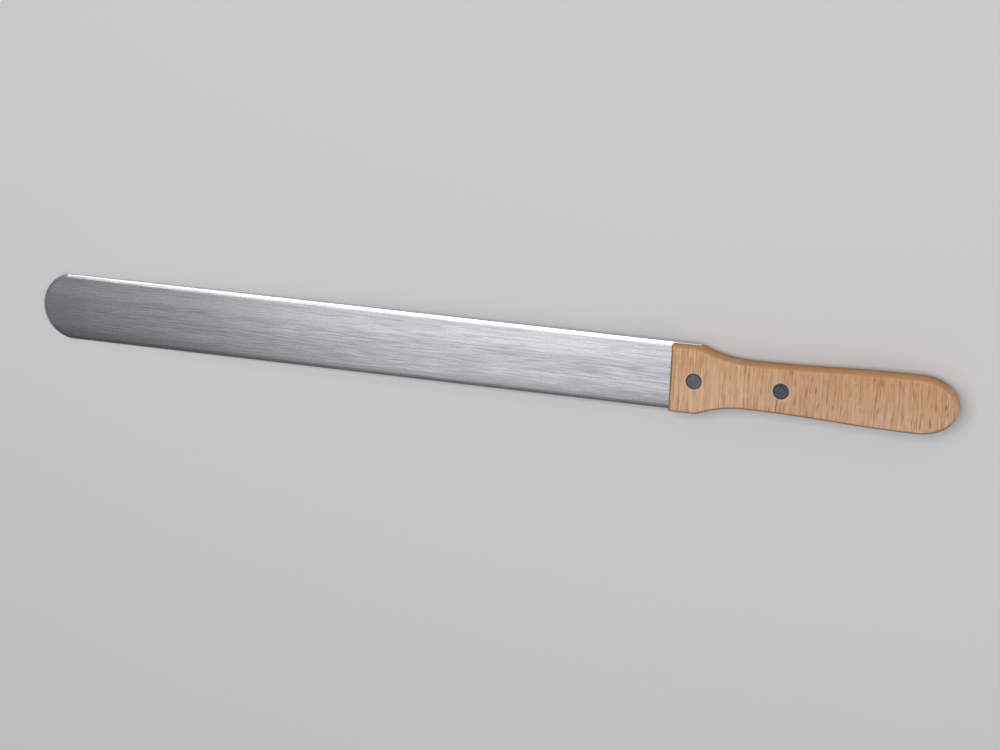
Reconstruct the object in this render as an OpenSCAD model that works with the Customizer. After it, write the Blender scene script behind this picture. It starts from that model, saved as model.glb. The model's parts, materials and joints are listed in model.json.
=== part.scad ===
// Long laboratory spatula: a flexible ground steel blade in a riveted wooden handle.
// The tool is drawn along X, tip at -X and handle at +X, with the handle's front edge at X = 0
// and the blade's middle plane at Z = 0. It is then laid down as it comes to rest on a bench,
// on the blade's tip and on the handle's front edge.

/* [Blade] */
// Free length of the blade, from the handle to the tip
blade_l = 300; // [180:1:320]
// Width of the blade, and of the handle's head that it lies flush with
blade_w = 31; // [26:0.5:40]
// Thickness at the handle
blade_t = 1.5; // [1.2:0.1:2.5]
// Thickness at the tip, ground down from the handle's end
tip_t = 1.0; // [0.7:0.05:1.1]
// Radius of the round tip, a little over half the width
tip_r = 15.8; // [13:0.1:30]
// Thickness left along the ground edge
rim_t = 0.5; // [0.3:0.05:0.6]
// Width of the ground edge beside the handle
grind_w = 2.5; // [1.5:0.1:4]

/* [Tang] */
// Width of the tongue behind the handle's head
tongue_w = 12; // [9:0.5:14]
// How far the tongue runs past the rear rivet
tongue_past = 10; // [6:0.5:20]
// Size of the sloped shoulder between the wide tang and the tongue
shoulder = 3; // [1:0.5:4]

/* [Handle] */
// Length of the handle
handle_l = 128; // [110:1:160]
// Thickness over both scales and the tang
handle_t = 12; // [9:0.5:16]
// Length of the wide head
head_l = 12.5; // [9:0.5:18]
// Radius of the hollow that runs from the head to the waist
neck_r = 54; // [35:1:80]
// Width at the waist
waist_w = 21.3; // [18:0.1:24]
// Width at the grip's widest place
grip_w = 25.4; // [20:0.2:32]
// Length of the rounded end, behind the grip's widest place
end_l = 17.8; // [12:0.1:30]
// Radius of the rounded edges round the upper face
edge_r = 1.5; // [0.5:0.1:2]
// Radius of the fuller rounding round the underside, which lies in the palm
under_r = 4.8; // [1.5:0.1:5]

/* [Rivets] */
// Distance of the front rivet from the handle's front edge
rivet_x = 11; // [8:0.5:16]
// Distance between the two rivets
rivet_pitch = 39; // [25:0.5:60]
// Diameter of the rivet heads
rivet_head_d = 7.2; // [5.5:0.1:9]
// Depth of the rivet heads
rivet_head_t = 1.6; // [1:0.1:2.5]
// Diameter of the rivet shanks
rivet_shank_d = 4.5; // [3:0.1:5]

/* [Fit] */
// Room between the tang and its recess
tang_play = 0.05; // [0.02:0.01:0.3]
// Room round the rivets
rivet_play = 0.03; // [0.02:0.01:0.2]
// How far the rivet heads lie below the wood
rivet_sink = 0.03; // [0:0.01:0.2]

/* [Hidden] */
$fn = 96;

// A cut or a blank runs this far past what it cuts
over = 2;
// The ground edges stop this far inside the handle, where the tang keeps its full section
tang_start = 1;
// Rise of the ground edge for each millimetre in from the rim
grind_rise = (blade_t - rim_t) / 2 / grind_w;
// Centre of the tip's arc
tip_x = tip_r - blade_l;
tongue_end = rivet_x + rivet_pitch + tongue_past;
rivet_places = [rivet_x, rivet_x + rivet_pitch];

// The waist lies where the hollow, leaving the head's corner, has come down to the waist's width
neck_drop = (blade_w - waist_w) / 2;
waist_x = head_l + sqrt(pow(neck_r, 2) - pow(neck_r - neck_drop, 2));
grip_x = handle_l - end_l;

// The underside's rounding stops short of the tang's recess, also in a thin handle
least_wall = 0.2;
palm_r = min(under_r, (handle_t - blade_t) / 2 - tang_play - least_wall);

// Resting on the foremost part of the blade's flat, just behind the ground edge of the tip,
// and on the front of the handle's flat underside
tip_grind_w = (tip_t - rim_t) / 2 / grind_rise;
rest_tilt = atan((handle_t - tip_t) / 2 / (blade_l - tip_grind_w + palm_r));
rest_lift = handle_t / 2 * cos(rest_tilt) - palm_r * sin(rest_tilt);
middle_x = (handle_l - blade_l) / 2 * cos(rest_tilt);

module at_rest() {
    translate([-middle_x, 0, rest_lift])
        rotate([0, -rest_tilt, 0])
            children();
}

// Handle outline. Each stretch is a function of its own share of the way, s from 0 to 1.

function neck(s) =
    let (x = head_l + s * (waist_x - head_l))
    [x, waist_w / 2 + neck_r - sqrt(pow(neck_r, 2) - pow(waist_x - x, 2))];

function flank(s) =
    let (swell = (1 - cos(180 * s)) / 2)
    [waist_x + s * (grip_x - waist_x), (waist_w + swell * (grip_w - waist_w)) / 2];

function round_end(s) = [grip_x + end_l * sin(90 * s), grip_w / 2 * cos(90 * s)];

upper_edge = concat(
    [[0, blade_w / 2]],
    [for (s = [0 : 1/10 : 1]) neck(s)],
    [for (s = [1/14 : 1/14 : 1]) flank(s)],
    [for (s = [1/20 : 1/20 : 0.99]) round_end(s)]
);

// Clockwise from the front corner, over the round end and back along the other side
handle_edge = concat(
    upper_edge,
    [[handle_l, 0]],
    [for (i = [len(upper_edge) - 1 : -1 : 0]) [upper_edge[i].x, -upper_edge[i].y]]
);

function outward(a, b) = [a.y - b.y, b.x - a.x] / norm(b - a);

// The outline moved inward by a distance, with mitred corners
function inset(edge, by) =
    let (n = len(edge))
    [for (i = [0 : n - 1])
        let (
            before = outward(edge[(i + n - 1) % n], edge[i]),
            after = outward(edge[i], edge[(i + 1) % n])
        )
        edge[i] - by * (before + after) / (1 + before * after)];

// The flat inside an outline, as strips between each point and its mirror image
function cap(n, first) =
    let (half = (n - 1) / 2)
    concat(
        [for (i = [0 : half - 2])
            let (across = n - 1 - i)
            each [
                [first + i, first + i + 1, first + across - 1],
                [first + i, first + across - 1, first + across]
            ]],
        [[first + half - 1, first + half, first + half + 1]]
    );

function flipped(faces) = [for (f = faces) [f[2], f[1], f[0]]];

// A solid skinned over copies of an outline, one for each [inset, height] step
module skinned(edge, steps) {
    n = len(edge);
    last = len(steps) - 1;
    skin_points = [for (step = steps) for (p = inset(edge, step[0])) [p.x, p.y, step[1]]];
    sides = [for (k = [0 : last - 1]) for (i = [0 : n - 1])
        let (j = (i + 1) % n, low = k * n, high = (k + 1) * n)
        each [[low + i, low + j, high + j], [low + i, high + j, high + i]]];
    polyhedron(skin_points, concat(flipped(cap(n, 0)), sides, cap(n, last * n)));
}

// Cross-section with ground edges, taller than the blade so that only the edges are shaped by it
module ground_section(half_w) {
    high = blade_t;
    slope_w = (high - rim_t / 2) / grind_rise;
    for (side = [0, 1])
        mirror([side, 0])
            polygon([
                [0, -high],
                [half_w - slope_w, -high],
                [half_w, -rim_t / 2],
                [half_w, rim_t / 2],
                [half_w - slope_w, high],
                [0, high]
            ]);
}

// Bar with ground edges along both sides, from the tip to the tang's shoulder
module ground_bar() {
    translate([-blade_l - over, 0, 0])
        rotate([90, 0, 90])
            linear_extrude(blade_l + over + head_l)
                ground_section(blade_w / 2);
}

// Side view: thinner towards the tip, even inside the handle
module tapered_stock() {
    rotate([90, 0, 0])
        linear_extrude(blade_w + 2 * over, center = true)
            polygon([
                [-blade_l, -tip_t / 2],
                [0, -blade_t / 2],
                [head_l + over, -blade_t / 2],
                [head_l + over, blade_t / 2],
                [0, blade_t / 2],
                [-blade_l, tip_t / 2]
            ]);
}

// Round tip with the same ground edge, and all the length behind its centre
module round_tip() {
    translate([tip_x, 0, 0])
        rotate_extrude()
            intersection() {
                ground_section(tip_r);
                translate([0, -blade_t])
                    square([tip_r, 2 * blade_t]);
            }
    translate([tip_x, -blade_w / 2 - over, -blade_t])
        cube([head_l + over - tip_x, blade_w + 2 * over, 2 * blade_t]);
}

// Tongue behind the shoulder, with room all round when it is cut as a recess
module tongue_plan(room) {
    half_w = tongue_w / 2 + room;
    translate([head_l - over, -half_w])
        square([tongue_end - tongue_w / 2 - head_l + over, 2 * half_w]);
    translate([tongue_end - tongue_w / 2, 0])
        circle(half_w);
    polygon([
        [head_l - over, -half_w - shoulder],
        [head_l + room, -half_w - shoulder],
        [head_l + room + shoulder, -half_w],
        [head_l + room + shoulder, half_w],
        [head_l + room, half_w + shoulder],
        [head_l - over, half_w + shoulder]
    ]);
}

module blade() {
    color([0.72, 0.73, 0.75])
        at_rest()
            difference() {
                union() {
                    intersection() {
                        ground_bar();
                        tapered_stock();
                        round_tip();
                    }
                    linear_extrude(blade_t, center = true) {
                        translate([tang_start, -blade_w / 2])
                            square([head_l - tang_start, blade_w]);
                        tongue_plan(0);
                    }
                }
                for (x = rivet_places)
                    translate([x, 0, -blade_t])
                        cylinder(2 * blade_t, d = rivet_shank_d + 2 * rivet_play);
            }
}

// Room for the tang: right across the head, then the tongue alone
module tang_recess() {
    linear_extrude(blade_t + 2 * tang_play, center = true) {
        translate([-over, -blade_w / 2 - over])
            square([head_l + tang_play + over, blade_w + 2 * over]);
        tongue_plan(tang_play);
    }
}

// Counterbored hole for one rivet
module rivet_seat() {
    translate([0, 0, -handle_t / 2])
        cylinder(handle_t, d = rivet_shank_d + 2 * rivet_play);
    translate([0, 0, handle_t / 2 - rivet_sink - rivet_head_t])
        cylinder(rivet_sink + rivet_head_t + over, d = rivet_head_d + 2 * rivet_play);
}

// One half of the handle, flat on the middle plane and rounded along its outer edge
module scale_half(round_r) {
    flat_z = handle_t / 2;
    rounded = [for (a = [0 : 15 : 90])
        [round_r * (1 - cos(a)), flat_z - round_r * (1 - sin(a))]];
    difference() {
        skinned(handle_edge, concat([[0, 0]], rounded));
        tang_recess();
        for (x = rivet_places)
            translate([x, 0, 0])
                rivet_seat();
    }
}

module upper_scale() {
    color([0.75, 0.61, 0.47])
        at_rest()
            scale_half(edge_r);
}

module lower_scale() {
    color([0.72, 0.58, 0.44])
        at_rest()
            mirror([0, 0, 1])
                scale_half(palm_r);
}

// One set rivet: a shank with a flush head at each end
module rivet() {
    head_z = handle_t / 2 - rivet_sink;
    cylinder(2 * head_z, d = rivet_shank_d, center = true);
    for (side = [0, 1])
        mirror([0, 0, side])
            translate([0, 0, head_z - rivet_head_t])
                cylinder(rivet_head_t, d = rivet_head_d);
}

module rivets() {
    color([0.33, 0.35, 0.39])
        at_rest()
            for (x = rivet_places)
                translate([x, 0, 0])
                    rivet();
}

blade();
upper_scale();
lower_scale();
rivets();
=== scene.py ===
# %% [markdown]
# # A long laboratory spatula
# The CAD part already has the right sizes: a springy ground blade in a flat wooden handle that is
# made of two halves, called scales, and held by two flush rivets. This lesson gives it its looks.
# Each step makes one piece as a maker would, with a blank that is cut, ground, rounded and
# finished, and then puts it exactly where the CAD solid lies.

# %% Load the CAD frame
import json
from math import acos, asin, atan2, cos, degrees, pi, radians, sin, tan

import bmesh
import bpy
from mathutils import Matrix, Vector


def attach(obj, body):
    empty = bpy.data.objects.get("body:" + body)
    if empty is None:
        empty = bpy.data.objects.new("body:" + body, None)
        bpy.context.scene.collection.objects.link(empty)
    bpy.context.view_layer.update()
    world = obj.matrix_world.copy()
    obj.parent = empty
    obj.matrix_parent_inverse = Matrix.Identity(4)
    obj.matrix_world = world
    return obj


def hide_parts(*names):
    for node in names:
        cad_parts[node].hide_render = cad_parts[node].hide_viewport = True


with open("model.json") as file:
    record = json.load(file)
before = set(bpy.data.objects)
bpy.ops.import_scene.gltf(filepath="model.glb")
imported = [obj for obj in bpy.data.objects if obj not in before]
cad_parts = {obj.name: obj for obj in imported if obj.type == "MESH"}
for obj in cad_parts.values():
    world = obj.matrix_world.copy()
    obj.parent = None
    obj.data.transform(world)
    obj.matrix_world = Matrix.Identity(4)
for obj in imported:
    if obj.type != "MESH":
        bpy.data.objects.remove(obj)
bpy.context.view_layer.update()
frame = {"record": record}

# %% [markdown]
# ## From the workshop to the bench
# The pieces are easiest to draw in millimetres, flat along X, with the handle's front edge at
# zero. The real tool doesn't lie flat: it rests on the blade's tip and on the handle's front, so
# it leans by about one degree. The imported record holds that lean, in the axis of the mount under
# the handle. One matrix, from workshop millimetres to the bench in metres, then serves each piece.

# %% The lean of the resting tool
mm = 0.001
handle_t = 12.0
mount_x = 80.0                       # the mount's distance behind the handle's front edge

underside = frame["record"]["mounts"][0]
downward = Vector(underside["axis"])
lean = atan2(downward.x, -downward.z)
along = Vector((cos(lean), 0, sin(lean)))
front_edge = Vector(underside["pos_m"]) - downward * (handle_t / 2 * mm) - along * (mount_x * mm)
at_rest = Matrix.Translation(front_edge) @ Matrix.Rotation(-lean, 4, "Y")
bench = at_rest @ Matrix.Scale(mm, 4)
print("leans by", round(degrees(lean), 3), "degrees, front edge of the handle at", front_edge[:])

# %% [markdown]
# ## The camera
# The photographer stood over the handle's end and looked down and along the blade with a long
# lens, so the far tip is hardly smaller than the handle. Turning the camera about the handle's
# front edge, and then stepping back, describes that view with a few numbers that can be read.

# %% Camera
lens_mm, sensor_mm = 108.0, 36.0
swing_to_handle = radians(14.23)
swing_to_far_side = radians(16.83)
roll = radians(2.44)
step_back = Vector((-76.46, 0.05, 1333.65))     # left, up and back from the handle's front edge

camera = bpy.data.objects.new("camera", bpy.data.cameras.new("camera"))
camera.data.lens = lens_mm
camera.data.sensor_width = sensor_mm
camera.matrix_world = (
    at_rest
    @ Matrix.Rotation(swing_to_handle, 4, "Y")
    @ Matrix.Rotation(-swing_to_far_side, 4, "X")
    @ Matrix.Rotation(roll, 4, "Z")
    @ Matrix.Translation(step_back * mm)
)
bpy.context.collection.objects.link(camera)
bpy.context.scene.camera = camera
bpy.context.scene.view_settings.view_transform = "Standard"
print("camera at", [round(c, 3) for c in camera.matrix_world.translation])

# %% [markdown]
# ## A language for materials
# A material is a small calculation that runs at each point of a surface. Wiring it by hand is hard
# to read, so one class wraps a socket and lets Python's own signs add the Math nodes. A second one
# holds a finish and has a single method that adds any other node.


# %% Sockets that can be used like numbers
class Tone:
    """A value that changes over the surface."""

    def __init__(self, finish, socket):
        self.finish, self.socket = finish, socket

    def math(self, operation, first, second=0.0):
        settings = {"operation": operation}
        return self.finish.node("ShaderNodeMath", settings, {0: first, 1: second})

    def __add__(self, other):
        return self.math("ADD", self, other)

    def __sub__(self, other):
        return self.math("SUBTRACT", self, other)

    def __rsub__(self, other):
        return self.math("SUBTRACT", other, self)

    def __mul__(self, other):
        return self.math("MULTIPLY", self, other)

    def __pow__(self, other):
        return self.math("POWER", self, other)

    def __abs__(self):
        return self.math("ABSOLUTE", self)

    __radd__ = __add__
    __rmul__ = __mul__


print("socket signs ready")

# %% [markdown]
# Most patterns here are noise that is stretched one way, so the finish's noise method takes the
# number of repeats in a metre along each axis. Its ease method is a soft step, which turns a value
# into a mask from 0 to 1, and its blend method lays one colour over another by such a mask.

# %% A finish and its nodes
noise_mid = 0.5                      # noise swings about this value
mix_first, mix_second, mix_result = 6, 7, 2     # the Mix node's colour sockets, by number


class Finish:
    """A material that is built up node by node."""

    def __init__(self, name):
        self.material = bpy.data.materials.new(name)
        self.material.use_nodes = True
        self.tree = self.material.node_tree
        self.shader = self.tree.nodes["Principled BSDF"]

    def put(self, socket, value):
        if isinstance(value, Tone):
            self.tree.links.new(value.socket, socket)
        else:
            socket.default_value = value

    def node(self, kind, settings, sockets, output=0):
        made = self.tree.nodes.new(kind)
        for name, value in settings.items():
            setattr(made, name, value)
        for name, value in sockets.items():
            self.put(made.inputs[name], value)
        return Tone(self, made.outputs[output])

    def shade(self, sockets):
        for name, value in sockets.items():
            self.put(self.shader.inputs[name], value)

    def coordinate(self, kind):
        return self.node("ShaderNodeTexCoord", {}, {}, kind)

    def split(self, vector, axes="XYZ"):
        return [self.node("ShaderNodeSeparateXYZ", {}, {0: vector}, axis) for axis in axes]

    def join(self, x, y, z):
        return self.node("ShaderNodeCombineXYZ", {}, {"X": x, "Y": y, "Z": z})

    def stretch(self, vector, scale, shift=(0, 0, 0), turn=0.0):
        sockets = {"Vector": vector, "Location": shift, "Rotation": (0, 0, turn), "Scale": scale}
        return self.node("ShaderNodeMapping", {"vector_type": "POINT"}, sockets)

    def noise(self, vector, repeats, shift=(0, 0, 0), turn=0.0, detail=2.0, rough=0.5):
        sockets = {"Vector": self.stretch(vector, repeats, shift, turn), "Scale": 1.0,
                   "Detail": detail, "Roughness": rough}
        return self.node("ShaderNodeTexNoise", {"noise_dimensions": "3D"}, sockets)

    def ease(self, value, low, high):
        """0 below low, 1 above high, and a soft step between them; low may be the higher one."""
        sockets = {"Value": value, "From Min": low, "From Max": high}
        return self.node("ShaderNodeMapRange", {"interpolation_type": "SMOOTHSTEP"}, sockets)

    def blend(self, share, first, second):
        settings = {"data_type": "RGBA", "blend_type": "MIX"}
        sockets = {"Factor": share, mix_first: first, mix_second: second}
        return self.node("ShaderNodeMix", settings, sockets, mix_result)

    def bump(self, height, depth, strength):
        sockets = {"Height": height, "Distance": depth, "Strength": strength}
        return self.node("ShaderNodeBump", {}, sockets)


def colour(red, green, blue):
    return (red, green, blue, 1.0)


print("finishes ready")

# %% [markdown]
# ## From a bmesh to a finished piece
# All pieces end the same way: loose doubles are merged, normals are turned outwards, the mesh is
# carried from the workshop to the bench, and faces are shaded smooth. The Weighted Normal modifier
# lets the large flats rule the shading, so that small bevels catch the light as on a real edge.

# %% Finishing helper
merge_within = 1e-4
sharp_over = radians(26)


def lay_down(bm, name, node, finish):
    """Turns a workshop bmesh into the piece that stands for a CAD node."""
    bmesh.ops.remove_doubles(bm, verts=bm.verts[:], dist=merge_within)
    bmesh.ops.recalc_face_normals(bm, faces=bm.faces[:])
    open_edges = sum(not e.is_manifold for e in bm.edges)
    for face in bm.faces:
        face.smooth = True
    for edge in bm.edges:
        edge.smooth = not edge.is_manifold or edge.calc_face_angle() < sharp_over
    bmesh.ops.transform(bm, matrix=bench, verts=bm.verts[:])
    mesh = bpy.data.meshes.new(name)
    bm.to_mesh(mesh)
    bm.free()
    piece = bpy.data.objects.new(name, mesh)
    bpy.context.collection.objects.link(piece)
    mesh.materials.append(finish.material)
    weighted = piece.modifiers.new("even_shading", "WEIGHTED_NORMAL")
    weighted.keep_sharp = True
    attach(piece, "root")
    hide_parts(node)
    print(name, "has", len(mesh.polygons), "faces and", open_edges, "open edges")


print("pieces merge within", merge_within, "mm")

# %% [markdown]
# ## Brushed steel
# The blade was ground lengthwise on a belt, so it has fine streaks a few centimetres long and less
# than a millimetre apart, which waver a little, with broad paler and darker patches under them.
# They could be cut into the mesh, but that would take very many faces, and noise that is squeezed
# across the blade and stretched along it gives such streaks too. They drive the colour and the
# roughness, and the bump only a little, so that they don't look like a relief.

# %% Streaks of the belt
steel = Finish("brushed_steel")
steel_at = steel.coordinate("Object")
steel_x, steel_y = steel.split(steel_at, "XY")
waver_by = 0.9 * mm
belt_noise = {"detail": 3.0, "rough": 0.6}

waver = steel.noise(steel_at, (42, 120, 0), detail=1.0)
wavering = steel.join(steel_x, steel_y + (waver - noise_mid) * waver_by, 0.0)
hair = steel.noise(wavering, (90, 2400, 1), **belt_noise)
streak = steel.noise(wavering, (54, 1150, 1), shift=(3, 7, 2), **belt_noise)
lap = steel.noise(steel_at, (5, 260, 0), shift=(1, 3, 7))
patch = steel.noise(steel_at, (16, 110, 0), shift=(5, 1, 4))
print("hairs, streaks, laps of the belt and patches")

# %% [markdown]
# Use and grinding leave marks that have a place of their own: a few slanting scratches, a rim that
# is worn bright, and a finer finish at the tip that ends in a paler band. Painted reflection lays
# a bright band along the far half, and painted shade darkens the low side, most of all near the
# tip.

# %% Scratches, worn edges, the finer tip and painted shade of the blade
blade_w, blade_l = 31.0, 300.0
half_w = blade_w / 2
slant, flattened = radians(9), (1, 1, 0)
scratch_width = 0.006
# Along the blade, in millimetres from the tip
fine_ends, fine_full = 26, 19
band_at, band_half = 23, 3
dark_ends, dark_full = 160, 20
# Across the blade, in millimetres from its middle line
rim_inside, rim_outside = half_w - 0.55, half_w - 0.1
reflection_band_at, reflection_band_half, reflection_band_core = 8, 4.5, 1
low_starts, low_full = -7, -14

slanting = steel.stretch(steel_at, flattened, turn=slant)
scratch_bed = steel.noise(slanting, (18, 420, 1), shift=(1, 2, 9), detail=1.0)
scratch = steel.ease(abs(scratch_bed - noise_mid), scratch_width, 0.0)
worn_rim = steel.ease(abs(steel_y), rim_inside * mm, rim_outside * mm)
from_tip = steel_x - front_edge.x + blade_l * mm
fine_tip = steel.ease(from_tip, fine_ends * mm, fine_full * mm)
tip_band = steel.ease(abs(from_tip - band_at * mm), band_half * mm, 0.0)
# painted reflection: a bright band painted along the far half of the blade
painted_reflection_band = steel.ease(abs(steel_y - reflection_band_at * mm), reflection_band_half * mm, reflection_band_core * mm)
# painted shade: the low side of the blade darkened, most of all near the tip
shaded_low_side = steel.ease(steel_y, low_starts * mm, low_full * mm)
painted_tip_shade = shaded_low_side * steel.ease(from_tip, dark_ends * mm, dark_full * mm)
# the bright lap in this print is the painted reflection band, and the low side is painted shade
print("scratches, worn rim, tip, bright lap and low side")

# %% Colour of the steel
pale_steel, grey_steel = colour(0.80, 0.793, 0.845), colour(0.46, 0.455, 0.49)
painted_shade_steel, worn_steel = colour(0.27, 0.267, 0.288), colour(0.80, 0.80, 0.82)
# painted shade: the steel is painted paler towards the far side and darker towards the low side
painted_shade_per_metre = 4.0               # from the low side to the far one
contrast_lost_at_tip = 0.55
reach = 0.16                         # how far from the middle the mix is all grey or all pale

streaks = hair * 0.3 + streak * 0.42 + patch * 0.14 + lap * 0.14
contrast = 1 - contrast_lost_at_tip * fine_tip
# painted reflection and shade in the tone: far side and its band paler, low side darker; the fine
# tip and its band are finish
tone_and_painted_shade = (steel_y * painted_shade_per_metre + 0.06 * painted_reflection_band - 0.06 * shaded_low_side - 0.03 * fine_tip
          + 0.025 * tip_band - 0.012)
steel_mix = steel.ease((streaks - noise_mid) * contrast + tone_and_painted_shade, -reach, reach)
steel_tint = steel.blend(steel_mix, grey_steel, pale_steel)
# painted shade laid on the low side near the tip
steel_tint = steel.blend(painted_tip_shade * 0.6, steel_tint, painted_shade_steel)
steel_tint = steel.blend(worn_rim * 0.5, steel_tint, worn_steel)
print("steel tint from four kinds of streak")

# %% Steel put together
streak_depth, streak_strength = 0.03 * mm, 0.06
relief = hair * 0.5 + streak * 0.6 - scratch * 0.25
steel.shade({
    "Base Color": steel_tint,
    "Metallic": 1.0,
    "Roughness": 0.345 - hair * 0.05 - streak * 0.06 - patch * 0.03 + scratch * 0.04,
    "Normal": steel.bump(relief, streak_depth, streak_strength),
})
print("steel has", len(steel.tree.nodes), "nodes")

# %% [markdown]
# ## The blade
# A cutler starts from a flat bar, grinds both long edges to a thin rim, thins the bar towards the
# tip and then rounds the tip on the wheel. The ground edge isn't one hard facet: shallower passes
# blend it into the flat, so the section has four slopes. It is extruded, and each further pass of
# the wheel is one bisect_plane that removes what lies outside the plane.

# %% Section of the ground bar
blade_t, tip_t, rim_t = 1.5, 1.0, 0.5
grind_rise = 0.2
# Width and rise of each slope, from the rim inwards
blends = ((0.8, grind_rise), (1.0, 0.125), (1.6, 0.0625), (8.0, 0.03))

quarter = [(half_w, rim_t / 2)]
for width, rise in blends:
    quarter.insert(0, (quarter[0][0] - width, quarter[0][1] + width * rise))
right_side = quarter + [(y, -z) for y, z in reversed(quarter)]
section = right_side + [(-y, z) for y, z in reversed(right_side)]
print("section with", len(section), "corners")

# %% The ground bar
head_l, tang_start = 12.5, 1.0
spare_l = 1.0                        # drawn beyond the tip, to be cut off


def only(kind, geom):
    return [g for g in geom if isinstance(g, kind)]


blade_bm = bmesh.new()
bar_end = blade_bm.faces.new([blade_bm.verts.new((tang_start, y, z)) for y, z in section])
drawn = bmesh.ops.extrude_face_region(blade_bm, geom=[bar_end], use_keep_orig=True)
far_end = only(bmesh.types.BMVert, drawn["geom"])
bmesh.ops.translate(blade_bm, verts=far_end, vec=(-blade_l - tang_start - spare_l, 0, 0))
bmesh.ops.recalc_face_normals(blade_bm, faces=blade_bm.faces[:])
print("bar with", len(blade_bm.faces), "faces")

# %% Taper and round tip
tip_r, tip_aside = 15.8, 0.18
tip_centre = Vector((tip_r - blade_l, tip_aside, 0))
thinning = (blade_t - tip_t) / 2 / blade_l
first_degrees, last_degrees, step_degrees = 100, 260, 4


def grind(bm, point, normal):
    """Grinds away what lies outside a plane and closes the cut."""
    whole = bm.verts[:] + bm.edges[:] + bm.faces[:]
    cut = bmesh.ops.bisect_plane(
        bm, geom=whole, dist=merge_within, plane_co=point, plane_no=normal, clear_outer=True
    )
    rim = [e for e in only(bmesh.types.BMEdge, cut["geom_cut"]) if e.is_boundary]
    if rim:
        bmesh.ops.edgeloop_fill(bm, edges=rim)


for side in (1, -1):
    grind(blade_bm, (0, 0, side * blade_t / 2), (-thinning, 0, side))
for angle in range(first_degrees, last_degrees + 1, step_degrees):
    outward = Vector((cos(radians(angle)), sin(radians(angle)), 0))
    rim_point = tip_centre + outward * tip_r
    grind(blade_bm, rim_point, outward)
    for side in (1, -1):
        grind(blade_bm, rim_point + Vector((0, 0, side * rim_t / 2)),
              outward * grind_rise + Vector((0, 0, side)))
bmesh.ops.recalc_face_normals(blade_bm, faces=blade_bm.faces[:])
print("ground blade with", len(blade_bm.faces), "faces")

# %% [markdown]
# No wheel leaves a knife-sharp corner between two ground slopes, so the lines where they meet get
# a soft bevel, and the rim a narrow one. The right lines are found by how far the surface turns
# there: much at the rim, little between two slopes.

# %% Softened lines of the blade
crease_soft, rim_soft = 0.3, 0.1
rim_turn, crease_turn = (50, 100), (1.2, 13)
at_rim, above_rim = rim_t / 2 - 0.02, rim_t / 2 + 0.1
same_place = 0.01                    # what lies closer than this counts as touching


def soften(bm, edges, width, segments, clamp=True):
    """Rounds edges over by a width."""
    bmesh.ops.bevel(bm, geom=edges, affect="EDGES", offset=width, offset_type="OFFSET",
                    segments=segments, profile=0.5, material=-1, clamp_overlap=clamp)


def lines_between(bm, turn, above):
    """Level edges that turn by an angle between two limits, in degrees, above a height."""
    low, high = (radians(limit) for limit in turn)
    return [e for e in bm.edges
            if e.is_manifold and min(v.co.x for v in e.verts) < tang_start - same_place
            and low < e.calc_face_angle() < high
            and all(abs(v.co.z) > above for v in e.verts)
            and (e.verts[0].co.xy - e.verts[1].co.xy).length > same_place]


rim_lines = lines_between(blade_bm, rim_turn, at_rim)
soften(blade_bm, rim_lines, rim_soft, 2)
creases = lines_between(blade_bm, crease_turn, above_rim)
soften(blade_bm, creases, crease_soft, 3)
print(len(rim_lines), "rim lines and", len(creases), "creases softened")

# %% [markdown]
# Inside the handle the bar keeps its full section, right across the head, and only its narrow
# tongue runs on. The tang starts as a block, two cuts mark the tongue on its end, and the middle
# of that end is pushed out and rounded.

# %% Block and tongue of the tang
tongue_w, tongue_end = 12.0, 60.0
tang_mid = Vector(((tang_start + head_l) / 2, 0, 0))
tang_size = Vector((head_l - tang_start, blade_w, blade_t))


def score(bm, point, normal):
    """Marks a plane on all faces and takes nothing away."""
    whole = bm.verts[:] + bm.edges[:] + bm.faces[:]
    bmesh.ops.bisect_plane(bm, geom=whole, dist=merge_within, plane_co=point, plane_no=normal)


tang_bm = bmesh.new()
bmesh.ops.create_cube(tang_bm, size=1,
                      matrix=Matrix.Translation(tang_mid) @ Matrix.Diagonal(tang_size).to_4x4())
for y in (-tongue_w / 2, tongue_w / 2):
    score(tang_bm, (0, y, 0), (0, 1, 0))
root_face = min((f for f in tang_bm.faces if f.normal.x > 0.9),
                key=lambda f: abs(f.calc_center_median().y))
pushed = bmesh.ops.extrude_face_region(tang_bm, geom=[root_face])
tongue_verts = only(bmesh.types.BMVert, pushed["geom"])
bmesh.ops.translate(tang_bm, verts=tongue_verts, vec=(tongue_end - head_l, 0, 0))
print("tongue reaches", max(v.co.x for v in tang_bm.verts))

# %% Rounded tongue, and the blade put together
end_flat = 0.2                       # left straight on each side of the tongue's round end

tongue_corners = [e for e in tang_bm.edges
                  if all(v.co.x > tongue_end - same_place for v in e.verts)
                  and abs(e.verts[0].co.y - e.verts[1].co.y) < same_place]
soften(tang_bm, tongue_corners, tongue_w / 2 - end_flat, 8)
head_sides = [e for e in tang_bm.edges
              if all(abs(v.co.y) > half_w - same_place for v in e.verts)]
soften(tang_bm, head_sides, rim_soft, 2)

tang_mesh = bpy.data.meshes.new("tang")
tang_bm.to_mesh(tang_mesh)
tang_bm.free()
blade_bm.from_mesh(tang_mesh)
bpy.data.meshes.remove(tang_mesh)
lay_down(blade_bm, "ground_blade", "blade", steel)

# %% [markdown]
# ## Beech
# The handle is beech with its figure running straight across the grip: long thin golden lines on
# the head, and short wavering reddish dashes further back. Each is noise stretched across the
# handle. Where such noise passes its middle value, it does so along a thin line, so keeping only
# that narrow step draws the lines, and a second, spotty noise breaks them into dashes.

# %% Beds of the figure
wood = Finish("beech")
wood_at = wood.coordinate("Object")
wood_x, wood_y, wood_z = wood.split(wood_at)
from_front = wood_x - front_edge.x
head_until, grip_from = 24, 56
on_grip = wood.ease(from_front, head_until * mm, grip_from * mm)


def head_to_grip(on_head, at_back):
    """A number that changes from the head to the grip."""
    return on_head + (at_back - on_head) * on_grip


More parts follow.
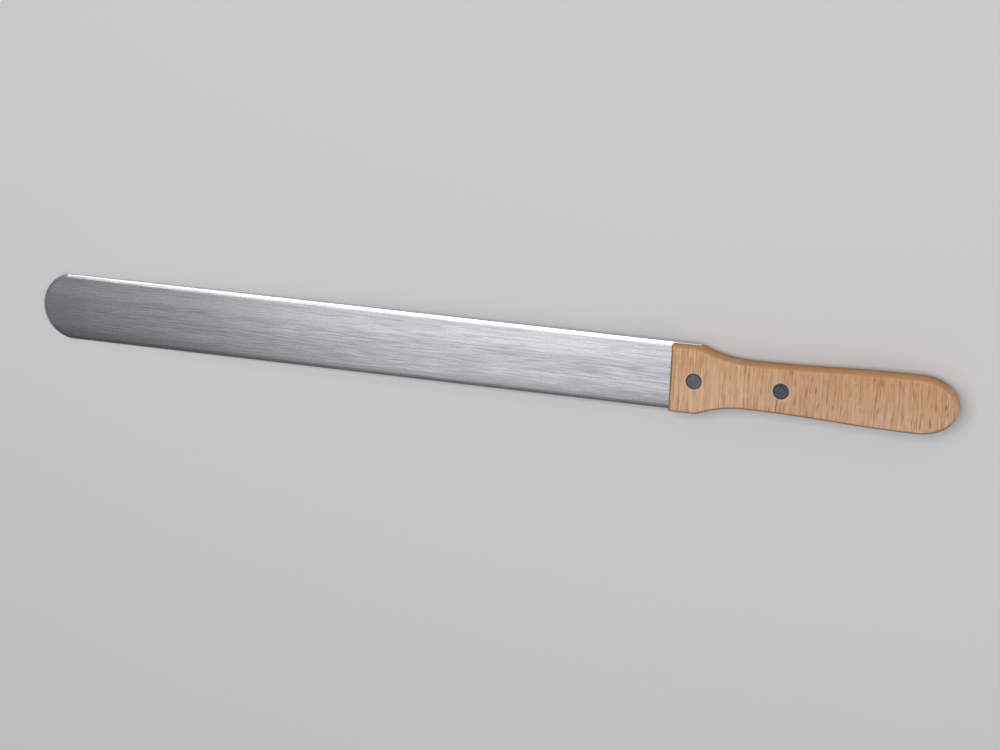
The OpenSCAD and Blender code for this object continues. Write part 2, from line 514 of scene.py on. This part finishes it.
sway = wood.noise(wood_at, (70, 140, 80))
sway_by = head_to_grip(0.3 * mm, 1.2 * mm)
swayed = wood.join(wood_x + (sway - noise_mid) * sway_by, wood_y, wood_z)
hairline = wood.noise(swayed, (1150, 42, 400), detail=3.0, rough=0.65)
line_bed = wood.noise(swayed, (560, 6, 120), shift=(11, 5, 3), detail=1.0)
fine_bed = wood.noise(swayed, (1100, 9, 200), shift=(6, 1, 4), detail=1.0)
dash_bed = wood.noise(swayed, (820, 46, 200), shift=(1, 6, 3), detail=1.0)
gap_bed = wood.noise(wood_at, (420, 130, 200), shift=(7, 5, 2), detail=1.0)
fleck_bed = wood.noise(swayed, (1000, 170, 260), rough=0.55)
print("beds for hairlines, lines, dashes and flecks")

# %% Figure of the wood
line_core = 0.006
line_width, fine_width, dash_width = 0.038, 0.040, 0.044


def thin_lines(bed, width):
    """Lines where a noise passes its middle value."""
    return wood.ease(abs(bed - noise_mid), width, line_core)


gaps = wood.ease(gap_bed, 0.42, 0.58)
line = thin_lines(line_bed, line_width) * (0.4 + 0.6 * gaps)
fine_line = thin_lines(fine_bed, fine_width) * (0.3 + 0.7 * gaps)
dash = thin_lines(dash_bed, dash_width) * gaps
fleck = wood.ease(fleck_bed, 0.56, 0.70)
figure = (line * head_to_grip(0.75, 0.25) + fine_line * head_to_grip(0.5, 0.25)
          + dash * head_to_grip(0.3, 0.75) + fleck * head_to_grip(0.2, 0.4))
print("lines, dashes and flecks")

# %% [markdown]
# The sides cut the fibres' ends and are deeper in colour, so the surface normal picks the colour
# there, and wear makes that border uneven. Painted shade darkens the near side and the front most,
# and the round end shows long grain again. Height in the handle's own thickness carries painted
# shade down the sides towards the joint of the two scales, which shows as a fine dark line.

# %% Sides, wear, painted shade and joint
# Parts of the surface normal
turned_from, turned_to = -0.1, -0.6
end_from, end_to = 0.45, 0.72
side_from, side_to = 0.002, 0.26
# Heights over the joint, in millimetres
shade_from, shade_to = 4.5, -1.5
joint_half, joint_core = 0.3, 0.1

facing_x, facing_y, facing_z = wood.split(wood.coordinate("Normal"))
wear = wood.noise(wood_at, (420, 90, 300), shift=(3, 1, 8), detail=3.0, rough=0.6)
# painted shade: the near side and the front end are darkened
shaded_near_side = wood.ease(facing_y, turned_from, turned_to)
shaded_front_end = wood.ease(facing_x, turned_from, turned_to)
cut_across = 1 - wood.ease(facing_x, end_from, end_to)
sideways = (1 - abs(facing_z)) * (0.4 + 1.2 * wear)
side_on = wood.ease(sideways, side_from, side_to) * cut_across
height = wood_z - front_edge.z - from_front * tan(lean)
# painted shade: the side walls darker lower down the handle's thickness
painted_low_shade = wood.ease(height, shade_from * mm, shade_to * mm)
joint_line = wood.ease(abs(height), joint_half * mm, joint_core * mm)
print("sides, wear and joint")

# %% [markdown]
# Pink, amber and paler patches vary the ground colour between the lines. Distance from the rivets
# makes the pale ring of pressed wood round each head, and a fine crack runs from the rear one to
# the edge.

# %% Patches, pores and marks
rivet_x, rivet_pitch, rivet_head_d = 11.0, 39.0, 7.2
ring_outside, ring_inside = rivet_head_d / 2 + 1.0, rivet_head_d / 2 + 0.4
crack_x, crack_slant, crack_half, crack_core = 48.96, 0.1, 0.42, 0.12
crack_from, crack_full = -3.2, -4.2
amber_side, pale_side = 10, -12

blush = wood.noise(wood_at, (150, 60, 90), shift=(9, 3, 5))
amber = wood.noise(swayed, (240, 70, 120), shift=(2, 8, 3))
pores = wood.noise(wood_at, (3200, 700, 3200))
paler = wood.ease(wood_y, amber_side * mm, pale_side * mm)

to_rivet = abs(from_front - (rivet_x + rivet_pitch / 2) * mm) - rivet_pitch / 2 * mm
from_rivet = (to_rivet ** 2 + wood_y ** 2) ** 0.5
pressed = wood.ease(from_rivet, ring_outside * mm, ring_inside * mm)
from_crack = abs(from_front - crack_x * mm - wood_y * crack_slant)
crack = (wood.ease(from_crack, crack_half * mm, crack_core * mm)
         * wood.ease(wood_y, crack_from * mm, crack_full * mm)
         * wood.ease(height, 0.0, 1 * mm))
print("patches, pores, rivet rings and crack")

# %% Colours of the wood
pale_beech, pink_beech = colour(0.81, 0.545, 0.355), colour(0.775, 0.48, 0.325)
honey, amber_tint = colour(0.60, 0.35, 0.17), colour(0.60, 0.32, 0.13)
sapwood, pressed_wood = colour(0.86, 0.66, 0.49), colour(0.74, 0.60, 0.48)
painted_falloff_brown, pore_brown = colour(0.42, 0.205, 0.075), colour(0.33, 0.18, 0.08)
line_gold, line_red = colour(0.44, 0.217, 0.07), colour(0.42, 0.18, 0.075)
side_brown, painted_low_brown = colour(0.59, 0.275, 0.09), colour(0.41, 0.175, 0.06)
painted_shade_brown, crack_dark = colour(0.20, 0.125, 0.07), colour(0.20, 0.10, 0.04)
joint_dark = colour(0.12, 0.07, 0.04)

line_tint = wood.blend(on_grip, line_gold, line_red)
# painted shade on the sides: darker lower down, and darkest on the near side and the front
side_tint_and_shade = wood.blend(painted_low_shade, side_brown, painted_low_brown)
side_tint_and_shade = wood.blend(shaded_near_side + shaded_front_end, side_tint_and_shade, painted_shade_brown)
print("colours of lines and sides")

# %% [markdown]
# The layers go on like thin stains: each has its share, which may change over the surface, and its
# colour, and covers that share of what lies below. The darker grip and the sides' darker parts are
# painted shade among them.

# %% Wood put together
tint = wood.blend(wood.ease(blush, 0.36, 0.62), pale_beech, pink_beech)
stains_and_shade = (
    (wood.ease(hairline, 0.42, 0.64) * 0.9, honey),
    (wood.ease(amber, 0.50, 0.68) * head_to_grip(0.2, 0.3), amber_tint),
    # painted shade: the grip darkened, as the light falls off from the head along the handle
    (on_grip * 0.25, painted_falloff_brown),
    ((1 - paler) * 0.14, amber_tint),
    (paler * 0.12, sapwood),
    (pressed * (0.15 + 0.6 * wear), pressed_wood),
    (figure * (1 - 0.5 * side_on), line_tint),
    (crack * 0.75, crack_dark),
    (wood.ease(pores, 0.6, 0.75) * 0.15, pore_brown),
    (side_on * 0.8, side_tint_and_shade),
    (joint_line * 0.6, joint_dark),
)
for share, layer_tint in stains_and_shade:
    tint = wood.blend(share, tint, layer_tint)

grain_depth, grain_strength = 0.05 * mm, 0.5
wood.shade({
    "Base Color": tint,
    "Roughness": 0.5 + figure * 0.08 - wood.ease(blush, 0.3, 0.7) * 0.06,
    "Specular IOR Level": 0.3,
    "Normal": wood.bump(pores * 0.4 - figure * 0.6 - crack, grain_depth, grain_strength),
})
print("wood has", len(wood.tree.nodes), "nodes")

# %% [markdown]
# ## The scales
# One half of the handle is sawn from a board along an outline and has its outer edge rounded over.
# The outline of one side is drawn by moving a single vertex: straight steps by extruding it, and
# the hollow neck, the long flank and the round end by spinning it. A mirror gives the other side.

# %% A pen for outlines
handle_l = 128.0
neck_r, waist_w, grip_w, end_l = 54.0, 21.3, 25.4, 17.8
neck_turn = acos(1 - (blade_w - waist_w) / 2 / neck_r)
waist_x = head_l + neck_r * sin(neck_turn)
grip_x = handle_l - end_l


def line_to(bm, vert, x, y):
    moved = bmesh.ops.extrude_vert_indiv(bm, verts=[vert])["verts"][0]
    moved.co = (x, y, 0)
    return moved


def arc_from(bm, vert, centre, angle, steps):
    turned = bmesh.ops.spin(bm, geom=[vert], cent=(*centre, 0), axis=(0, 0, 1),
                            angle=angle, steps=steps)
    return only(bmesh.types.BMVert, turned["geom_last"])[0]


print("waist at", round(waist_x, 2), "mm and widest grip at", round(grip_x, 2), "mm")

# %% Outline of the handle
neck_steps, flank_steps, end_steps = 14, 12, 22
flank_rise, flank_run = (grip_w - waist_w) / 2, grip_x - waist_x
flank_r = (flank_run ** 2 + flank_rise ** 2) / (4 * flank_rise)
flank_turn = asin(flank_run / 2 / flank_r)


def handle_outline():
    bm = bmesh.new()
    pen = line_to(bm, bm.verts.new((0, 0, 0)), 0, half_w)
    pen = line_to(bm, pen, head_l, half_w)
    pen = arc_from(bm, pen, (waist_x, waist_w / 2 + neck_r), neck_turn, neck_steps)
    pen = arc_from(bm, pen, (waist_x, waist_w / 2 + flank_r), flank_turn, flank_steps)
    pen = arc_from(bm, pen, (grip_x, grip_w / 2 - flank_r), -flank_turn, flank_steps)
    before_end = set(bm.verts)
    arc_from(bm, pen, (grip_x, 0), -pi / 2, end_steps)
    at_grip = Matrix.Translation((-grip_x, 0, 0))
    bmesh.ops.scale(bm, verts=[v for v in bm.verts if v not in before_end], space=at_grip,
                    vec=(end_l / (grip_w / 2), 1, 1))
    bmesh.ops.mirror(bm, geom=bm.verts[:] + bm.edges[:], matrix=Matrix(), axis="Y",
                     merge_dist=merge_within)
    bmesh.ops.remove_doubles(bm, verts=bm.verts[:], dist=merge_within)
    return bm


outline_bm = handle_outline()
print("outline of", len(outline_bm.edges), "edges, closed:",
      all(len(v.link_edges) == 2 for v in outline_bm.verts))
outline_bm.free()

# %% [markdown]
# The closed outline is filled as one flat sheet and extruded up to where the rounding starts. From
# there the top is inset again and again, each time by more and raised by less, which walks round a
# quarter circle as a rounding cutter does. A bevel could round the edge too, but insets set the
# width and height of each step directly. The upper face has small roundings, and the underside,
# which lies in the palm, fuller ones, so one function serves both with its own radius.

# %% A rounded board
corner_soft, break_edge = 0.25, 0.1
edge_r, edge_steps = 1.9, 6
under_r, under_steps = 4.8, 10


def rounded_board(round_r, steps):
    """Half the handle, flat at zero, and the face that is its flat top."""
    bm = handle_outline()
    sheet = bmesh.ops.edgeloop_fill(bm, edges=bm.edges[:])["faces"]
    raised = bmesh.ops.extrude_face_region(bm, geom=sheet, use_keep_orig=True)
    top = only(bmesh.types.BMFace, raised["geom"])[0]
    bmesh.ops.translate(bm, verts=top.verts[:], vec=(0, 0, handle_t / 2 - round_r))
    for step in range(steps):
        before, after = (pi / 2 * n / steps for n in (step, step + 1))
        bmesh.ops.inset_region(bm, faces=[top], use_even_offset=True,
                               thickness=round_r * (cos(before) - cos(after)))
        bmesh.ops.translate(bm, verts=top.verts[:],
                            vec=(0, 0, round_r * (sin(after) - sin(before))))
    bmesh.ops.recalc_face_normals(bm, faces=bm.faces[:])
    mitres = [e for e in bm.edges if abs(e.verts[0].co.z - e.verts[1].co.z) > merge_within
              and all(abs(v.co.x + abs(v.co.y) - half_w) < same_place for v in e.verts)]
    soften(bm, mitres, corner_soft, 3, clamp=False)
    joint = [e for e in bm.edges if all(abs(v.co.z) < merge_within for v in e.verts)]
    soften(bm, joint, break_edge, 2, clamp=False)
    return bm, max(bm.faces, key=lambda f: f.calc_center_median().z)


board_bm, board_top = rounded_board(edge_r, edge_steps)
print("board with", len(board_bm.faces), "faces and", len(board_top.verts), "corners on its flat")
board_bm.free()

# %% [markdown]
# Two things are cut into the board. The rivets' seats are drilled: the flat is filled once more,
# now round two circles, whose edges are drawn down into flat-bottomed holes.

# %% Rivet seats
rivet_head_t, rivet_play, rivet_sink = 1.6, 0.03, 0.03
rivet_places = (rivet_x, rivet_x + rivet_pitch)
seat_r = rivet_head_d / 2 + rivet_play
round_steps = 56


def draw_down(bm, edges, centre, depth, shrink):
    """Extrudes a ring of edges downwards and pulls it in a little."""
    drawn = bmesh.ops.extrude_edge_only(bm, edges=edges)["geom"]
    ring = only(bmesh.types.BMVert, drawn)
    bmesh.ops.translate(bm, verts=ring, vec=(0, 0, -depth))
    bmesh.ops.scale(bm, verts=ring, space=Matrix.Translation(-centre), vec=(shrink, shrink, 1))
    return [e for e in only(bmesh.types.BMEdge, drawn) if all(v in ring for v in e.verts)]


def drill_seats(bm, top):
    border, rings = top.edges[:], []
    for x in rivet_places:
        centre = Vector((x, 0, handle_t / 2))
        circle = bmesh.ops.create_circle(bm, segments=round_steps, radius=seat_r + break_edge,
                                         matrix=Matrix.Translation(centre))["verts"]
        rings.append((centre, [e for e in bm.edges if all(v in circle for v in e.verts)]))
    bmesh.ops.delete(bm, geom=[top], context="FACES_ONLY")
    loops = border + [e for centre, ring in rings for e in ring]
    bmesh.ops.triangle_fill(bm, edges=loops, use_beauty=True, normal=(0, 0, 1))
    for centre, ring in rings:
        ring = draw_down(bm, ring, centre, break_edge, seat_r / (seat_r + break_edge))
        ring = draw_down(bm, ring, centre, rivet_sink + rivet_head_t, 1)
        bmesh.ops.edgeloop_fill(bm, edges=ring)


print("seats of radius", seat_r, "mm at", rivet_places)

# %% [markdown]
# The head's inner side is lifted to make room for the tang, whose steel edge shows as a thin line
# along the head, because sanding has left the wood there a hair narrower than the steel.

# %% Slot for the tang
tang_play = 0.05
slot_z = blade_t / 2 + tang_play
head_end = head_l + tang_play + break_edge


def cut_slot(bm, shy):
    """Makes room for the tang, and leaves the head narrower than it by shy on each side."""
    for x in (head_end - break_edge, head_end):
        score(bm, (x, 0, 0), (1, 0, 0))
    head = [v for v in bm.verts if v.co.x < head_end + break_edge / 2]
    inner = [v for v in head if v.co.z < break_edge + same_place
             and v.co.x < head_end - break_edge / 2]
    bmesh.ops.translate(bm, verts=inner, vec=(0, 0, slot_z))
    bmesh.ops.scale(bm, verts=head, vec=(1, 1 - shy / half_w, 1))


print("slot", round(2 * slot_z, 2), "mm high")

# %% Both scales
upper_shy, lower_shy = 0.12, 0.36
scales = (
    ("upper_beech_scale", "upper_scale", edge_r, edge_steps, upper_shy, 1),
    ("lower_beech_scale", "lower_scale", under_r, under_steps, lower_shy, -1),
)
for name, node, round_r, steps, shy, side in scales:
    scale_bm, flat_top = rounded_board(round_r, steps)
    drill_seats(scale_bm, flat_top)
    cut_slot(scale_bm, shy)
    bmesh.ops.scale(scale_bm, verts=scale_bm.verts[:], vec=(1, 1, side))
    lay_down(scale_bm, name, node, wood)

# %% [markdown]
# ## The rivets
# A soft metal pin was set in each hole and sanded flush with the wood. That leaves a dark dull
# disc with fine straight marks from the sanding block, spots of tarnish and a thin darker rim. The
# front one gets painted light and is a little brighter, like the head around it.

# %% Marks on the rivets
rivet_metal = Finish("dull_rivet_metal")
rivet_at = rivet_metal.coordinate("Object")
pin_x, pin_y = rivet_metal.split(rivet_at, "XY")
sanding_turn = radians(12)
rim_starts, rim_ends = 2.6, 3.5

between_pins = front_edge.x + (rivet_x + rivet_pitch / 2) * mm
from_pin = abs(pin_x - between_pins) - rivet_pitch / 2 * mm
from_axis = (from_pin ** 2 + pin_y ** 2) ** 0.5
marks = rivet_metal.noise(rivet_at, (500, 5200, 0), turn=sanding_turn, detail=3.0, rough=0.6)
tarnish = rivet_metal.noise(rivet_at, (800, 800, 800))
dark_rim = rivet_metal.ease(from_axis, rim_starts * mm, rim_ends * mm)
# painted light: this mask picks the front pin, which is painted brighter
front_pin = rivet_metal.ease(pin_x, between_pins + 1 * mm, between_pins - 1 * mm)
print("sanding marks, tarnish and rims")

# %% Dull rivet metal
dark_metal, grey_metal = colour(0.062, 0.069, 0.085), colour(0.137, 0.149, 0.175)
painted_light_metal, rim_metal = colour(0.27, 0.285, 0.32), colour(0.06, 0.06, 0.065)
mark_depth, mark_strength = 0.02 * mm, 0.5

spots = rivet_metal.ease(marks * 0.35 + tarnish * 0.65, 0.36, 0.64)
pin_tint = rivet_metal.blend(spots, dark_metal, grey_metal)
# painted light on the front pin
pin_tint = rivet_metal.blend(front_pin * 0.3, pin_tint, painted_light_metal)
rivet_metal.shade({
    "Base Color": rivet_metal.blend(dark_rim * 0.6, pin_tint, rim_metal),
    "Metallic": 0.9,
    "Roughness": 0.46 + marks * 0.12,
    "Normal": rivet_metal.bump(marks, mark_depth, mark_strength),
})
print("rivet metal has", len(rivet_metal.tree.nodes), "nodes")

# %% [markdown]
# The pin is turned work, so half of its profile, spun once round its axis, gives the whole pin
# with a head at each end.

# %% Set rivets
rivet_shank_d, chamfer = 4.5, 0.1
head_z = handle_t / 2 - rivet_sink
head_r, shank_r = rivet_head_d / 2, rivet_shank_d / 2
half_profile = [(0, head_z), (head_r - chamfer, head_z), (head_r, head_z - chamfer),
                (head_r, head_z - rivet_head_t), (shank_r, head_z - rivet_head_t)]
profile = half_profile + [(r, -z) for r, z in reversed(half_profile)]

pins_bm = bmesh.new()
for x in rivet_places:
    points = [pins_bm.verts.new((x + r, 0, z)) for r, z in profile]
    edges = [pins_bm.edges.new(pair) for pair in zip(points, points[1:])]
    bmesh.ops.spin(pins_bm, geom=points + edges, cent=(x, 0, 0), axis=(0, 0, 1),
                   angle=2 * pi, steps=round_steps, use_merge=True)
lay_down(pins_bm, "set_rivets", "rivets", rivet_metal)

# %% [markdown]
# ## Floor
# A pale floor that curves up all round, like a paper sweep, keeps the background plain from any
# side. A vertex is drawn out and spun up into the curve's profile, and the profile is spun round.

# %% Floor
paper = Finish("pale_paper")
paper.shade({"Base Color": colour(0.72, 0.72, 0.725), "Roughness": 0.7})
sweep_r, sweep_h = 4.2, 1.0
curve_steps, sweep_steps = 16, 96

floor_bm = bmesh.new()
flat_r = sweep_r - sweep_h
sweep_edge = line_to(floor_bm, floor_bm.verts.new((0, 0, 0)), flat_r, 0)
bmesh.ops.spin(floor_bm, geom=[sweep_edge], cent=(flat_r, 0, sweep_h), axis=(0, -1, 0),
               angle=pi / 2, steps=curve_steps)
bmesh.ops.spin(floor_bm, geom=floor_bm.verts[:] + floor_bm.edges[:], cent=(0, 0, 0),
               axis=(0, 0, 1), angle=2 * pi, steps=sweep_steps, use_merge=True)
bmesh.ops.remove_doubles(floor_bm, verts=floor_bm.verts[:], dist=merge_within)
bmesh.ops.recalc_face_normals(floor_bm, faces=floor_bm.faces[:])
if floor_bm.faces[0].normal.z < 0:
    bmesh.ops.reverse_faces(floor_bm, faces=floor_bm.faces[:])
for face in floor_bm.faces:
    face.smooth = True
floor_mesh = bpy.data.meshes.new("floor")
floor_bm.to_mesh(floor_mesh)
floor_bm.free()
floor_mesh.materials.append(paper.material)
floor = bpy.data.objects.new("floor", floor_mesh)
bpy.context.collection.objects.link(floor)
print("floor", floor.dimensions[:])

# %% [markdown]
# ## Light
# Steel shows little of its own: it shows the lamps. So soft boxes are placed where the blade
# mirrors them: a weaker one in front, which the flat shows and which ends before the tip's
# reflection, so that the blade darkens towards the tip; and a stronger one overhead, which only
# the far ground edge shows, as a white line. A box to the side lights the handle's end, and three
# wide dim cards all round keep the steel from going black when it is seen from another side.

# %% Lamps
tool_middle = (0, 0, 0)
card_w, card_h, card_radiance = 4.4, 0.9, 0.36


def soft_box(name, place, aim, width, depth, radiance):
    """A rectangular lamp; its power follows from its area and the brightness of its face."""
    lamp = bpy.data.lights.new(name, "AREA")
    lamp.shape = "RECTANGLE"
    lamp.size, lamp.size_y = width, depth
    lamp.energy = pi * width * depth * radiance
    holder = bpy.data.objects.new(name, lamp)
    bpy.context.collection.objects.link(holder)
    direction = Vector(aim) - Vector(place)
    holder.matrix_world = (Matrix.Translation(place)
                           @ direction.to_track_quat("-Z", "Y").to_matrix().to_4x4())
    print(name, "gives", round(lamp.energy, 2), "W")


soft_box("overhead_box", (-0.05, 0.54, 1.55), (-0.05, 0.54, 0), 1.5, 1.08, 3.35)
soft_box("front_box", (-0.375, -0.525, 1.50), (-0.375, -0.525, 0), 0.49, 0.63, 1.08)
soft_box("side_box", (1.35, -0.25, 0.9), tool_middle, 1.0, 0.9, 1.4)
for card, place in (("near_card", (0.2, -1.8, 0.9)), ("far_card", (0.2, 1.9, 0.9)),
                    ("tip_card", (-1.9, 0, 0.9))):
    soft_box(card, place, tool_middle, card_w, card_h, card_radiance)

# %% The room
room_grey = colour(0.11, 0.11, 0.112)
world = bpy.data.worlds.new("grey_room")
world.use_nodes = True
world.node_tree.nodes["Background"].inputs["Color"].default_value = room_grey
bpy.context.scene.world = world
print("room", room_grey[:3])
